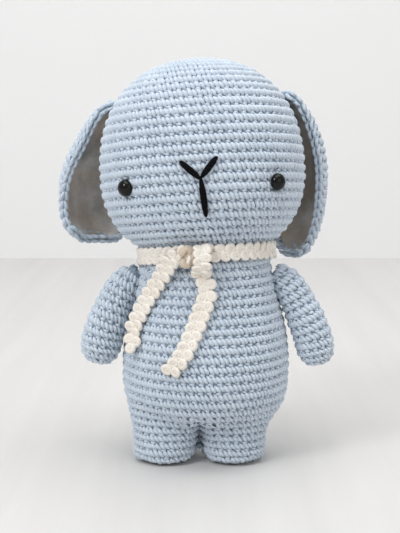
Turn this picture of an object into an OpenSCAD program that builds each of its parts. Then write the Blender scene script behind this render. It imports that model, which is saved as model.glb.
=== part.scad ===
// Crocheted soft toy with a round head, hanging ears, two arms and two short legs.
// The covers are hollow crocheted shells with loose stuffing inside them.
// +Z is up, the toy looks along -Y and it stands on the plane z = 0.

/* [Placement] */
// Sideways place of the toy's own axis, which centres the outer box on the origin
toy_x = 5.5; // [-10:0.5:10]
// Front to back place of the toy's own axis
toy_y = -4.5; // [-10:0.5:10]

/* [Head] */
// Radius of the head at its widest round
head_r = 59.4; // [56:0.2:62]
// Height of the crown above the widest round
crown_h = 65; // [60:1:70]
// Depth of the chin below the widest round
chin_h = 51.4; // [50:0.2:54]
// Height of the widest round above the neck
head_mid_h = 46.9; // [45:0.1:47]
// How full the head is: 2 is an ellipsoid
head_fullness = 2.3; // [2:0.1:2.6]
// Backward tilt of the head, in degrees
head_tilt = 6; // [0:1:8]
// Sideways lean of the head, in degrees
head_roll = 3; // [0:1:5]

/* [Body] */
// Height of the neck's centre above the floor
neck_z = 119.5; // [115:0.5:125]
// Radius of the neck
neck_r = 36; // [34:0.5:37]
// Radius of the belly at its widest round
belly_r = 48.5; // [46:0.5:50]
// Height of the belly's widest round
belly_z = 57; // [54:1:60]
// Height over which the belly narrows to the neck
chest_h = 73; // [70:1:78]
// Depth of the round underside below the belly
seat_h = 40; // [38:1:42]
// Radius of each leg
leg_r = 19.3; // [18:0.1:19.6]
// Sideways place of each leg
leg_x = 20.2; // [20:0.1:21]
// Radius of the flat sole
sole_r = 13.5; // [10:0.5:15]
// Sideways place of the legs' middle: the toy leans a little on them
legs_x = -3; // [-4:0.5:0]
// How far the legs stand in front of the body's axis
legs_y = -6; // [-7:0.5:-4]

/* [Crochet] */
// Thickness of the crocheted fabric
wall = 3.6; // [3:0.1:4]
// Free space between a cover and its stuffing
slack = 0.5; // [0.3:0.1:1]
// Radius of the sewing yarn
yarn_r = 0.8; // [0.6:0.1:1]

/* [Eyes and face] */
// Radius of each eye
eye_r = 4.5; // [4:0.5:5]
// Turn of each eye from the middle of the face, in degrees
eye_turn = 44.7; // [40:0.1:48]
// Drop of the eyes below the widest round
eye_drop = 8.8; // [6:0.1:10]
// Radius of an eye's post
post_r = 2; // [1.8:0.1:2.2]
// Greatest radius of an embroidered stitch
thread_r = 1.5; // [1:0.1:1.8]

/* [Ears] */
// How far the toy's left ear (at -X) is lifted from the head, in degrees
ear_left_lift = 20; // [0:1:22]
// Length of the toy's left ear beside the right one's
ear_left_length = 0.9; // [0.88:0.01:1]
// Radius of the braided edging
edging_r = 2.7; // [2.2:0.1:3]
// Thickness of the ear's lining
lining_t = 1.2; // [1:0.1:1.4]

/* [Arms] */
// Length of the toy's left arm beside the right one's
arm_left_length = 0.94; // [0.92:0.01:1]
// How far the toy's right arm is lifted from its side, in degrees
arm_right_lift = 2.5; // [0:0.5:3]

/* [Scarf] */
// Half of the scarf's width
scarf_half_w = 4.2; // [3.5:0.1:4.4]
// Half of the scarf's thickness
scarf_half_t = 2.1; // [1.6:0.1:2.1]
// Radius of the loop round the neck
scarf_r = 39.2; // [39.2:0.1:40]

/* [Hidden] */
$fn = 96;

LEFT = -1;
RIGHT = 1;
head_shift = 0.6;              // the head sits a little to the right of the body's axis
body_rim = 3;                  // the body's neck edge, above the neck's centre
head_rim = 3.5;                // the head's neck edge, above the neck's centre
profile_step = 6;              // angle between two points of a round outline
far = 200;                     // larger than the toy, for cutting blocks

blue = [0.68, 0.75, 0.83];
dark_blue = [0.55, 0.62, 0.71];
white_fill = [0.95, 0.95, 0.93];
lining_grey = [0.55, 0.53, 0.50];
black = [0.05, 0.05, 0.06];
cream = [0.95, 0.92, 0.85];

// Arm centre line from the shoulder to the hand: [x, y, z, radius]
arm_rows = [[42.5, -1, 113, 2], [44.3, -1.5, 111.5, 4.8], [47, -2.5, 107, 7.4],
    [50.4, -4, 101, 9.4], [54.4, -5, 91, 10.9], [58.4, -6, 81, 11.9],
    [61.6, -6, 72, 12.5], [63.2, -6, 64, 12.6]];
hand_angles = [25, 50, 70, 84];
arm_hinge = [41.5, -2, 109.5];

// Ear rows from the seam down to the tip: [height, front x, front y, back x, back y, bulge]
ear_rows = [[89, 54, -3, 47, 27, 2], [84, 60, -1, 50, 32, 4], [73, 65.5, 3, 50, 40, 9],
    [59, 68.5, 6, 48, 47, 13], [45, 69.5, 8, 45, 50, 15], [30, 68.5, 9, 43, 49, 15],
    [18, 66.5, 10, 42, 45, 14], [7, 63, 11, 43, 38, 11], [0, 59.5, 12, 46, 30, 7],
    [-2.5, 55.5, 14, 50, 23, 2.5]];
ear_hinge = [49.4, 11.7, 89];
ear_hinge_axis = [7, -30, 0];
ear_columns = 8;

// Route of each scarf tail over the belly, from the knot down
tail_left_route = [[-9, -45, 123.5], [-14, -42.5, 123.5], [-18.5, -40, 120.5], [-22, -36.5, 115],
    [-25, -34.5, 109.5], [-28.5, -32.5, 104], [-32, -31, 98], [-35.5, -29.5, 91.5],
    [-38.5, -28.5, 85], [-41, -28, 78.5], [-40.5, -30, 72.5], [-40, -31.5, 69]];
tail_right_route = [[-4, -45, 118], [-3, -43.5, 114.5], [-1, -42.3, 110.5], [1, -43, 105.5],
    [0.5, -44.2, 100.5], [-1.5, -45.5, 95], [-4, -46.8, 88.5], [-6.5, -48.2, 82],
    [-9.5, -49.1, 75.5], [-12.5, -49.3, 69], [-16.5, -48.6, 63], [-21, -47.2, 58]];
knot_centre = [-5.6, -45, 122];
tail_sides = 10;

// ---- outlines ----

// Radius of the head, a height dh above its widest round
function head_radius(dh) =
    let (b = dh > 0 ? crown_h : chin_h)
    head_r * pow(1 - pow(abs(dh) / b, head_fullness), 1 / head_fullness);

// Outline of the head from a height above the neck to the crown, drawn in by an inset
function head_outline(start_h, inset) =
    let (low = chin_h - inset,
         high = crown_h - inset,
         r = head_r - inset,
         k = head_fullness,
         first = -asin(pow((head_mid_h - start_h) / low, k / 2)),
         steps = ceil((90 - first) / profile_step))
    [for (i = [0:steps])
        let (t = first + (90 - first) * i / steps,
             b = t < 0 ? -low : high)
        [i == steps ? 0 : r * pow(cos(t), 2 / k), head_mid_h + b * pow(abs(sin(t)), 2 / k)]];

// Radius of the body above its widest round
function chest_radius(z) =
    neck_r + (belly_r - neck_r) * (1 + cos(180 * (z - belly_z) / chest_h)) / 2;

// Closed outline of the body without its legs, drawn in by an inset
function body_outline(inset) =
    let (k = 2.4,
         low = seat_h - inset,
         r = belly_r - inset,
         top_z = neck_z + 12)
    concat(
        [for (i = [0:15])
            let (t = 90 - 6 * i)
            [i == 0 ? 0 : r * pow(cos(t), 2 / k), belly_z - low * pow(sin(t), 2 / k)]],
        [for (i = [1:12])
            let (z = belly_z + (top_z - belly_z) * i / 12)
            [chest_radius(z) - inset, z]],
        [[0, top_z]]);

// Closed outline of a leg, drawn in by an inset
function leg_outline(inset) =
    let (round_r = leg_r - sole_r,
         top_z = 40)
    concat(
        [[0, inset]],
        [for (i = [0:6])
            let (t = -90 + 15 * i)
            [sole_r + (round_r - inset) * cos(t), round_r * 1.6 + (round_r * 1.6 - inset) * sin(t)]],
        [[leg_r - inset, top_z], [0, top_z]]);

// ---- sweeps ----

function unit(v) = v / norm(v);

// One ring of points round p, across the direction t, flattened towards the direction out
function ring(p, t, out, half_w, half_t, sides) =
    let (side = unit(cross(t, out)),
         up = unit(cross(side, t)))
    [for (k = [0:sides - 1])
        p + half_w * cos(360 * k / sides) * side + half_t * sin(360 * k / sides) * up];

// Closed solid through equal rings of points, each with an even number of them
module skin(rings) {
    sides = len(rings[0]);
    last = len(rings) - 1;
    points = [for (r = rings) each r];
    walls = [for (i = [0:last - 1]) for (k = [0:sides - 1])
        let (a = i * sides + k, b = i * sides + (k + 1) % sides)
        each [[a, b, b + sides], [a, b + sides, a + sides]]];
    caps = [for (k = [0:sides / 2 - 2])
        let (a = k, b = k + 1, c = sides - 2 - k, d = sides - 1 - k, e = last * sides)
        each [[d, c, b], [d, b, a], [e + a, e + b, e + c], [e + a, e + c, e + d]]];
    polyhedron(points = points, faces = concat(caps, walls), convexity = 8);
}

// Direction of a route at its point i
function route_dir(route, i) =
    unit(route[min(i + 1, len(route) - 1)] - route[max(i - 1, 0)]);

// ---- places ----

module on_body() {
    translate([toy_x, toy_y, 0]) children();
}

module on_head() {
    on_body() translate([head_shift, 0, neck_z]) rotate([-head_tilt, -head_roll, 0]) children();
}

// A place on the face: turned from the middle of the face, a height above the widest round
module on_face(turn, dh, nod) {
    rotate([0, 0, turn])
        translate([0, -head_radius(dh), head_mid_h + dh])
            rotate([90 + nod, 0, 0]) children();
}

module on_ear(side) {
    lift = side == LEFT ? ear_left_lift : 0;
    length = side == LEFT ? ear_left_length : 1;
    on_head() mirror([side == LEFT ? 1 : 0, 0, 0])
        translate(ear_hinge) rotate(a = lift, v = ear_hinge_axis) scale([1, 1, length])
            translate(-ear_hinge) children();
}

module on_arm(side) {
    lift = side == LEFT ? 0 : arm_right_lift;
    length = side == LEFT ? arm_left_length : 1;
    on_body() mirror([side == LEFT ? 1 : 0, 0, 0])
        translate(arm_hinge) rotate([0, -lift, 0]) scale([1, 1, length])
            translate(-arm_hinge) children();
}

module below_neck(h) {
    difference() {
        children();
        translate([head_shift, 0, neck_z]) rotate([-head_tilt, -head_roll, 0])
            translate([-far / 2, -far / 2, h]) cube(far);
    }
}

// ---- head ----

eye_nod = 6.6;
washer_r = 6;
post_len = 11;

module at_eye(side) {
    on_face(side * eye_turn, -eye_drop, eye_nod) children();
}

module head_cover() {
    color(blue) on_head() difference() {
        rotate_extrude() polygon(concat(head_outline(head_rim, 0),
            [for (i = [len(head_outline(head_rim, wall)) - 1:-1:0]) head_outline(head_rim, wall)[i]]));
        for (side = [LEFT, RIGHT])
            at_eye(side) translate([0, 0, -3 * wall]) cylinder(r = post_r + 0.15, h = 6 * wall);
    }
}

module head_stuffing() {
    start_h = head_rim + 1;
    color(white_fill) on_head() difference() {
        rotate_extrude() polygon(concat([[0, start_h]], head_outline(start_h, wall + slack)));
        for (side = [LEFT, RIGHT])
            at_eye(side) translate([0, 0, -post_len - 1]) cylinder(r = washer_r + 1, h = post_len + 2);
    }
}

module eye(side) {
    dome_h = 3.4;
    rib_gap = 2;
    color(black) on_head() at_eye(side) {
        rotate_extrude() polygon(concat([[0, 0]],
            [for (i = [0:9]) [eye_r * cos(10 * i), 0.6 + (dome_h - 0.6) * sin(10 * i)]],
            [[0, dome_h]]));
        cylinder(r = eye_r, h = 0.6);
        translate([0, 0, -post_len]) cylinder(r = post_r - 0.15, h = post_len + 0.1);
        for (i = [1:4])
            translate([0, 0, -post_len + rib_gap * i - 0.4]) cylinder(r = post_r, h = 0.5);
    }
}

module eye_washer(side) {
    washer_t = 1.4;
    color(white_fill) on_head() at_eye(side) translate([0, 0, -wall - 0.5 - washer_t])
        difference() {
            union() {
                cylinder(r = washer_r, h = washer_t);
                translate([0, 0, -1.4]) cylinder(r = post_r + 1.4, h = 1.5);
            }
            translate([0, 0, -3]) cylinder(r = post_r + 0.05, h = 6);
        }
}

// A point on the face's surface
function face_point(turn, dh) =
    [head_radius(dh) * sin(turn), -head_radius(dh) * cos(turn), head_mid_h + dh];

// A spindle of thread between two points of the face
module face_stitch(p, q) {
    v = q - p;
    length = norm(v);
    color(black) on_head() translate(p) rotate([0, acos(v[2] / length), atan2(v[1], v[0])])
        rotate_extrude($fn = 32) polygon(concat(
            [for (i = [0:8]) [i % 8 == 0 ? 0 : thread_r * pow(sin(22.5 * i), 0.6), length * i / 8]]));
}

nose_point = face_point(-0.9, -6.6);
nose_left_tip = face_point(-11.4, 3.3);
nose_right_tip = face_point(8.2, 4.8);
mouth_end = face_point(0.8, -26.4);

// ---- body ----

module body_form(inset) {
    rotate_extrude() polygon(body_outline(inset));
    for (side = [LEFT, RIGHT])
        translate([legs_x + side * leg_x, legs_y, 0]) rotate_extrude() polygon(leg_outline(inset));
}

module body_cover() {
    color(blue) on_body() below_neck(body_rim) difference() {
        body_form(0);
        body_form(wall);
    }
}

module body_stuffing() {
    color(white_fill) on_body() below_neck(body_rim - 1) body_form(wall + slack);
}

module neck_seam() {
    color(dark_blue) on_head() translate([0, 0, body_rim - 1])
        rotate_extrude() translate([neck_r + 0.4, 0]) circle(r = yarn_r, $fn = 24);
}

// ---- arms ----

// Rings of an arm, drawn in by an inset, from the row first on
function arm_rings(inset, first) =
    let (last = len(arm_rows) - 1,
         hand = arm_rows[last],
         hand_dir = unit([hand[0], hand[1], hand[2]]
             - [arm_rows[last - 1][0], arm_rows[last - 1][1], arm_rows[last - 1][2]]),
         centres = concat(
             [for (r = arm_rows) [r[0], r[1], r[2]]],
             [for (a = hand_angles) [hand[0], hand[1], hand[2]] + (hand[3] - inset) * sin(a) * hand_dir]),
         radii = concat(
             [for (r = arm_rows) r[3] - inset],
             [for (a = hand_angles) (hand[3] - inset) * cos(a)]))
    [for (i = [first:len(centres) - 1])
        ring(centres[i], route_dir(centres, i), [0, 1, 0], max(radii[i], 0.6), max(radii[i], 0.6), 28)];

// The arm's open end, where its stuffing goes in before it is sewn on
module arm_mouth() {
    low = [arm_rows[2][0], arm_rows[2][1], arm_rows[2][2]];
    top = [arm_rows[0][0], arm_rows[0][1], arm_rows[0][2]];
    rise = top + 0.3 * (top - low);
    mouth_r = 1.3;
    skin([for (p = [low, top, rise])
        ring(p, unit(top - low), [0, 1, 0], mouth_r, mouth_r, 28)]);
}

module arm_cover(side) {
    color(blue) on_arm(side) difference() {
        skin(arm_rings(0, 0));
        skin(arm_rings(wall, 1));
        arm_mouth();
    }
}

module arm_stuffing(side) {
    color(white_fill) on_arm(side) skin(arm_rings(wall + slack, 2));
}

module arm_seam(side) {
    row = arm_rows[1];
    centre = [row[0], row[1], row[2]];
    outer = [for (a = [-75:15:75])
        centre + (row[3] + 0.3) * [cos(a) * cos(35), sin(a), cos(a) * sin(35)]];
    color(dark_blue) on_arm(side) skin([for (i = [0:len(outer) - 1])
        ring(outer[i], route_dir(outer, i), [1, 0, 1], yarn_r, yarn_r, 8)]);
}

// ---- ears ----

// A point of the ear: row i, v from -1 at the front edge to 1 at the back edge, a depth inside
function ear_point(i, v, depth) =
    let (row = ear_rows[i],
         front = [row[1], row[2]],
         back = [row[3], row[4]],
         chord = norm(back - front),
         along = (back - front) / chord,
         away = [along[1], -along[0]],
         bulge = row[5],
         r = (chord * chord / 4 + bulge * bulge) / (2 * bulge),
         spread = asin(min(1, chord / (2 * r))),
         centre = (front + back) / 2 - away * (r - bulge),
         p = centre + (r - depth) * (away * cos(spread * v) + along * sin(spread * v)))
    [p[0], p[1], row[0]];

// A curved sheet between two depths of the ear
module ear_sheet(first, last, reach, outer_depth, inner_depth) {
    steps = [for (k = [0:ear_columns]) (2 * k / ear_columns - 1) * reach];
    skin([for (i = [first:last])
        concat([for (v = steps) ear_point(i, v, outer_depth)],
            [for (k = [ear_columns:-1:0]) ear_point(i, steps[k], inner_depth)])]);
}

module ear_panel(side) {
    color(blue) on_ear(side) ear_sheet(0, len(ear_rows) - 1, 1, 0, wall);
}

module ear_lining(side) {
    color(lining_grey) on_ear(side)
        ear_sheet(1, len(ear_rows) - 2, 0.84, wall + 0.1, wall + 0.1 + lining_t);
}

module ear_edging(side) {
    last = len(ear_rows) - 1;
    edge = concat([for (i = [0:last]) ear_point(i, -1, wall / 2)],
        [for (i = [last:-1:0]) ear_point(i, 1, wall / 2)]);
    color(dark_blue) on_ear(side) skin([for (i = [0:len(edge) - 1])
        ring(edge[i], route_dir(edge, i), [-1, 0.3, 0.2], edging_r, edging_r, 10)]);
}

module ear_seam(side) {
    line = [for (k = [0:8]) ear_point(0, k / 4 - 1, wall / 2) + [0, 0, 0.6]];
    color(dark_blue) on_ear(side) skin([for (i = [0:8])
        ring(line[i], route_dir(line, i), [0, 0, 1], 1.2 * yarn_r, yarn_r, 8)]);
}

// ---- scarf ----

module scarf_loop() {
    color(cream) on_head() translate([0, 0, 0.3]) rotate_extrude() polygon(
        [for (k = [0:15]) [scarf_r + scarf_half_t * cos(22.5 * k), scarf_half_w * sin(22.5 * k)]]);
}

module scarf_knot() {
    color(cream) on_body() translate(knot_centre) hull() {
        translate([-4, 0.5, 0.5]) sphere(r = 4.2, $fn = 32);
        translate([4, 0.5, 1.5]) sphere(r = 4.2, $fn = 32);
        translate([-2, -0.8, -2]) sphere(r = 4, $fn = 32);
        translate([2.5, -0.8, -1.5]) sphere(r = 4, $fn = 32);
    }
}

module scarf_tail(route) {
    color(cream) on_body() skin([for (i = [0:len(route) - 1])
        ring(route[i], route_dir(route, i), [route[i][0], route[i][1], 0],
            scarf_half_w - 0.4, scarf_half_t + 0.2, tail_sides)]);
}

head_cover();
head_stuffing();
body_cover();
body_stuffing();
neck_seam();
arm_cover(LEFT);  // arm_left_cover
arm_stuffing(LEFT);  // arm_left_stuffing
arm_seam(LEFT);  // arm_left_seam
arm_cover(RIGHT);  // arm_right_cover
arm_stuffing(RIGHT);  // arm_right_stuffing
arm_seam(RIGHT);  // arm_right_seam
ear_panel(LEFT);  // ear_left_panel
ear_lining(LEFT);  // ear_left_lining
ear_edging(LEFT);  // ear_left_edging
ear_seam(LEFT);  // ear_left_seam
ear_panel(RIGHT);  // ear_right_panel
ear_lining(RIGHT);  // ear_right_lining
ear_edging(RIGHT);  // ear_right_edging
ear_seam(RIGHT);  // ear_right_seam
eye(LEFT);  // eye_left
eye_washer(LEFT);  // eye_left_washer
eye(RIGHT);  // eye_right
eye_washer(RIGHT);  // eye_right_washer
face_stitch(nose_left_tip, nose_point);  // nose_stitch_left
face_stitch(nose_right_tip, nose_point);  // nose_stitch_right
face_stitch(mouth_end, nose_point);  // mouth_stitch
scarf_loop();
scarf_knot();
scarf_tail(tail_left_route);  // scarf_tail_left
scarf_tail(tail_right_route);  // scarf_tail_right
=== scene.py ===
# %% [markdown]
# # A crocheted toy with a scarf
# The toy is crocheted in the round from cotton yarn: a head, a body with two legs, two arms and two
# lined ears, each stuffed or sewn on, with safety eyes and a crocheted cord tied round the neck.
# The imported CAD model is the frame: every piece below takes its place from it and rides on its bodies.

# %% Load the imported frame
import math
import bpy
import numpy as np
from mathutils import Euler, Matrix, Vector


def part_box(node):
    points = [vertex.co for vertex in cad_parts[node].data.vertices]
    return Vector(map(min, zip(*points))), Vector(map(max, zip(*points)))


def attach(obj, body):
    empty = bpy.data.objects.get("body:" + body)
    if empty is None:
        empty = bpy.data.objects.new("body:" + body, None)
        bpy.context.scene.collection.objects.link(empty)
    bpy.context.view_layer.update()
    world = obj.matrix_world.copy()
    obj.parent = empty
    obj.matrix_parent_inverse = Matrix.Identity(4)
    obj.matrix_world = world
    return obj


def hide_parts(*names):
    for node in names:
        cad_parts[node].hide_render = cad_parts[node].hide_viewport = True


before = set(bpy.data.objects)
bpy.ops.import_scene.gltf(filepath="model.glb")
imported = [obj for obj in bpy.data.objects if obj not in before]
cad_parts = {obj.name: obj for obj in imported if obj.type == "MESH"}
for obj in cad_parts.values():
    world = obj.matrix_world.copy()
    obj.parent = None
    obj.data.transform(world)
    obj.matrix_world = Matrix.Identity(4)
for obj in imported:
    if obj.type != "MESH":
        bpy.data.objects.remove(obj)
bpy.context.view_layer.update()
MM = 0.001

# %% The toy's own axis and the head's lean
body_low, body_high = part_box("body_cover")
TOY = np.array([(body_low.x + body_high.x) / 2, (body_low.y + body_high.y) / 2, 0.0]) / MM
NECK_Z = 119.5
HEAD_LEAN = Euler((math.radians(-6), math.radians(-3), 0), "XYZ").to_matrix()
HEAD_FRAME = Matrix.Translation(Vector(TOY) + Vector((0.6, 0, NECK_Z))) @ HEAD_LEAN.to_4x4()
print("toy axis", TOY)


def moved(matrix, points):
    """Points in millimetres, carried by a 4 x 4 matrix."""
    m = np.array(matrix)
    return np.asarray(points, float) @ m[:3, :3].T + m[:3, 3]


def turned(matrix, arrows):
    """Directions, turned by a 4 x 4 matrix."""
    return np.asarray(arrows, float) @ np.array(matrix)[:3, :3].T


def unit(v):
    """Arrows of length one."""
    v = np.asarray(v, float)
    return v / np.maximum(np.linalg.norm(v, axis=-1, keepdims=True), 1e-9)


# %% [markdown]
# ## The camera
# The camera looks slightly down on the toy from a little above its head, with a long lens, so the head and
# the feet keep their true proportions.

# %% The camera
CAMERA_DROP = math.radians(7.14)
CAMERA_BACK = 720
CAMERA_HEIGHT = 202
CAMERA_ASIDE = -3.2
LENS, SENSOR = 84.42776735, 36
camera = bpy.data.objects.new("camera", bpy.data.cameras.new("camera"))
bpy.context.scene.collection.objects.link(camera)
bpy.context.scene.camera = camera
camera.data.sensor_width, camera.data.lens = SENSOR, LENS
camera.location = Vector((TOY[0] + CAMERA_ASIDE, TOY[1] - CAMERA_BACK, CAMERA_HEIGHT)) * MM
camera.rotation_euler = (math.pi / 2 - CAMERA_DROP, 0, 0)
bpy.context.scene.view_settings.view_transform = "Standard"
print("lens", round(camera.data.lens, 1), "mm")

# %% [markdown]
# ## Small tools for yarn
# Everything on this toy is yarn that runs along a path. One function lofts a closed tube round a
# path, which serves for a strand of a stitch, a thread and a cord alike. It lays a UV map with u
# round the yarn and v along it, so that the twist of the plies can follow the yarn in the material.


# %% Paths and tubes
def smooth_path(points, count):
    """A Catmull-Rom line through the points, at even spacing."""
    p = np.asarray(points, float)
    ext = np.vstack([2 * p[0] - p[1], p, 2 * p[-1] - p[-2]])
    out = []
    for i in range(len(p) - 1):
        a, b, c, d = ext[i:i + 4]
        for t in np.linspace(0, 1, 16, endpoint=False):
            out.append(0.5 * (2 * b + (c - a) * t + (2 * a - 5 * b + 4 * c - d) * t * t
                              + (3 * b - 3 * c + d - a) * t ** 3))
    out.append(p[-1])
    return spaced(np.array(out), count)


def lengths(path):
    """Distance along a path at each of its points."""
    steps = np.linalg.norm(np.diff(path, axis=0), axis=1)
    return np.concatenate([[0], np.cumsum(steps)])


def spaced(path, count):
    """The path again, with count points at even spacing."""
    s = lengths(path)
    at = np.linspace(0, s[-1], count)
    return np.stack([np.interp(at, s, path[:, k]) for k in range(path.shape[1])], axis=1)


def headings(path):
    """The path's direction at each of its points."""
    return unit(np.gradient(path, axis=0))


def tube(path, radii, sides=6, facing=None, flat=1.0, v_scale=1.0):
    """A closed tube round a path: vertices, faces and one UV for each face corner.
    facing points across the tube's thin side, which is flat times as thick as it is wide."""
    path = np.asarray(path, float)
    radii = np.broadcast_to(radii, len(path))
    along = headings(path)
    up = np.broadcast_to((0.0, 0.0, 1.0) if facing is None else facing, path.shape)
    side = unit(np.cross(along, up + 1e-4))
    top = unit(np.cross(side, along))
    angle = np.arange(sides) * 2 * np.pi / sides
    ring = (np.cos(angle)[None, :, None] * side[:, None]
            + flat * np.sin(angle)[None, :, None] * top[:, None])
    verts = (path[:, None] + radii[:, None, None] * ring).reshape(-1, 3)
    v_at = lengths(path) * v_scale
    faces, uvs = [], []
    last = len(path) - 1
    for i in range(last):
        for k in range(sides):
            n = (k + 1) % sides
            faces.append((i * sides + k, (i + 1) * sides + k, (i + 1) * sides + n, i * sides + n))
            uvs += [(k / sides, v_at[i]), (k / sides, v_at[i + 1]),
                    ((k + 1) / sides, v_at[i + 1]), ((k + 1) / sides, v_at[i])]
    poles = len(verts)
    verts = np.vstack([verts, path[0], path[-1]])
    for k in range(sides):
        n = (k + 1) % sides
        faces.append((k, n, poles))
        faces.append((last * sides + n, last * sides + k, poles + 1))
        uvs += [(k / sides, v_at[0]), ((k + 1) / sides, v_at[0]), (k / sides, v_at[0])]
        uvs += [((k + 1) / sides, v_at[-1]), (k / sides, v_at[-1]), (k / sides, v_at[-1])]
    return verts, faces, uvs


def ring_tube(path, radius, sides=6, v_scale=1.0):
    """A tube round a closed flat path, joined end to end."""
    path = np.asarray(path, float)
    along = unit(np.roll(path, -1, 0) - np.roll(path, 1, 0))
    side = unit(np.cross(along, (0.0, 0.0, 1.0)))
    top = np.cross(side, along)
    angle = np.arange(sides) * 2 * np.pi / sides
    ring = np.cos(angle)[None, :, None] * side[:, None] + np.sin(angle)[None, :, None] * top[:, None]
    verts = (path[:, None] + radius * ring).reshape(-1, 3)
    count = len(path)
    step = np.linalg.norm(path[1] - path[0]) * v_scale
    faces, uvs = [], []
    for i in range(count):
        j = (i + 1) % count
        for k in range(sides):
            n = (k + 1) % sides
            faces.append((i * sides + k, j * sides + k, j * sides + n, i * sides + n))
            uvs += [(k / sides, i * step), (k / sides, (i + 1) * step),
                    ((k + 1) / sides, (i + 1) * step), ((k + 1) / sides, i * step)]
    return verts, faces, uvs


def merged(parts):
    """Several lists of vertices, faces and UVs as one."""
    verts, faces, uvs, base = [], [], [], 0
    for v, f, u in parts:
        verts.append(np.asarray(v, float))
        faces += [tuple(i + base for i in face) for face in f]
        uvs += list(u)
        base += len(v)
    return np.vstack(verts), faces, uvs


def mesh_piece(name, part, scale=MM, material=None):
    """A Blender object from vertices, faces and UVs."""
    verts, faces, uvs = part
    mesh = bpy.data.meshes.new(name)
    mesh.from_pydata((np.asarray(verts) * scale).tolist(), [], [tuple(map(int, f)) for f in faces])
    if uvs:
        layer = mesh.uv_layers.new(name="yarn")
        layer.data.foreach_set("uv", np.asarray(uvs, np.float32).ravel())
    mesh.polygons.foreach_set("use_smooth", np.ones(len(mesh.polygons), bool))
    mesh.update()
    piece = bpy.data.objects.new(name, mesh)
    bpy.context.scene.collection.objects.link(piece)
    if material:
        mesh.materials.append(material)
    return piece


def joined(name, pieces):
    """Several objects as one, under a new name."""
    with bpy.context.temp_override(active_object=pieces[0], selected_editable_objects=pieces):
        bpy.ops.object.join()
    pieces[0].name = name
    pieces[0].data.name = name
    return pieces[0]


# %% [markdown]
# ## Shader arithmetic
# A finish is written as arithmetic on sockets, which reads like the recipe of a dye: a share of this,
# less a share of that. One class carries a socket and its operators, another makes the nodes.


# %% Sockets that add and multiply
class Share:
    """A socket's value in arithmetic."""

    def __init__(self, finish, socket):
        self.finish, self.socket = finish, socket

    def math(self, operation, *values):
        return self.finish.node("ShaderNodeMath", {"operation": operation}, dict(enumerate(values)))

    def __add__(self, other):
        return self.math("ADD", self, other)

    def __sub__(self, other):
        return self.math("SUBTRACT", self, other)

    def __rsub__(self, other):
        return self.math("SUBTRACT", other, self)

    def __mul__(self, other):
        return self.math("MULTIPLY", self, other)

    __radd__, __rmul__ = __add__, __mul__

    def sine(self):
        return self.math("SINE", self)

    def held(self):
        return self.finish.node("ShaderNodeClamp", {}, {"Value": self})


class Finish:
    """A material in the making."""

    def __init__(self, name):
        self.material = bpy.data.materials.new(name)
        self.material.use_nodes = True
        self.tree = self.material.node_tree
        self.tree.nodes.clear()

    def node(self, kind, settings, sockets, out=0):
        made = self.tree.nodes.new(kind)
        for key, value in settings.items():
            if key == "stops":
                ramp = made.color_ramp.elements
                while len(ramp) < len(value):
                    ramp.new(0.5)
                for stop, (place, colour) in zip(ramp, value):
                    stop.position, stop.color = place, (*colour, 1)
            else:
                setattr(made, key, value)
        for key, value in sockets.items():
            if isinstance(value, Share):
                self.tree.links.new(value.socket, made.inputs[key])
            else:
                made.inputs[key].default_value = value
        return Share(self, made.outputs[out]) if len(made.outputs) else None

    def place(self, scale=(1, 1, 1)):
        """Object coordinates, stretched."""
        where = self.node("ShaderNodeTexCoord", {}, {}, "Object")
        return self.node("ShaderNodeMapping", {}, {"Vector": where, "Scale": scale})

    def noise(self, scale, detail=2.0, roughness=0.5, stretch=(1, 1, 1)):
        return self.node("ShaderNodeTexNoise", {}, {
            "Vector": self.place(stretch), "Scale": scale, "Detail": detail, "Roughness": roughness})

    def mixed(self, share, first, second):
        """A colour between two colours."""
        low = (*first, 1) if isinstance(first, tuple) else first
        high = (*second, 1) if isinstance(second, tuple) else second
        return self.node("ShaderNodeMix", {"data_type": "RGBA"}, {0: share, 6: low, 7: high}, 2)

    def bump(self, height, strength, distance):
        return self.node("ShaderNodeBump", {}, {
            "Height": height, "Strength": strength, "Distance": distance})

    def surface(self, **values):
        """The one shader and its output. Underscores stand for spaces."""
        sockets = {key.replace("_", " "): value for key, value in values.items()}
        shader = self.node("ShaderNodeBsdfPrincipled", {}, sockets)
        self.node("ShaderNodeOutputMaterial", {}, {"Surface": shader})
        return self.material


# %% [markdown]
# ## Yarns, felt and plastic
# Cotton yarn is two or three plies twisted together, with a soft matt surface and a few stray fibres.
# The twist is a slanting wave on the UV map, the fibres a fine noise, and each stitch takes the dye a
# little differently, which comes from a random "tone" that the stitches carry as an attribute.


# %% Yarn
def yarn_finish(name, shade, light, plies=2.0, twist=1.1, depth=0.00022, sheen=0.25, rough=0.85,
                shine=0.25):
    """Plied yarn: shade between the plies, light on them."""
    f = Finish(name)
    uv = f.node("ShaderNodeUVMap", {"uv_map": "yarn"}, {})
    around = f.node("ShaderNodeSeparateXYZ", {}, {"Vector": uv}, 0)
    along = f.node("ShaderNodeSeparateXYZ", {}, {"Vector": uv}, 1)
    ply = ((along * twist + around * plies) * (2 * math.pi)).sine() * 0.5 + 0.5
    fibres = f.noise(2600, 3.0, 0.65)
    cloud = f.noise(55, 2.0, 0.5)
    tone = f.node("ShaderNodeAttribute", {"attribute_name": "tone"}, {}, "Fac")
    share = (ply * 0.30 + fibres * 0.42 + cloud * 0.30 + tone * 0.16 - 0.08).held()
    colour = f.mixed(share, shade, light)
    height = ply * 0.7 + fibres * 0.5
    return f.surface(Base_Color=colour, Roughness=rough, Sheen_Weight=sheen, Sheen_Roughness=0.6,
                     Normal=f.bump(height, 0.75, depth), Specular_IOR_Level=shine)


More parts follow.
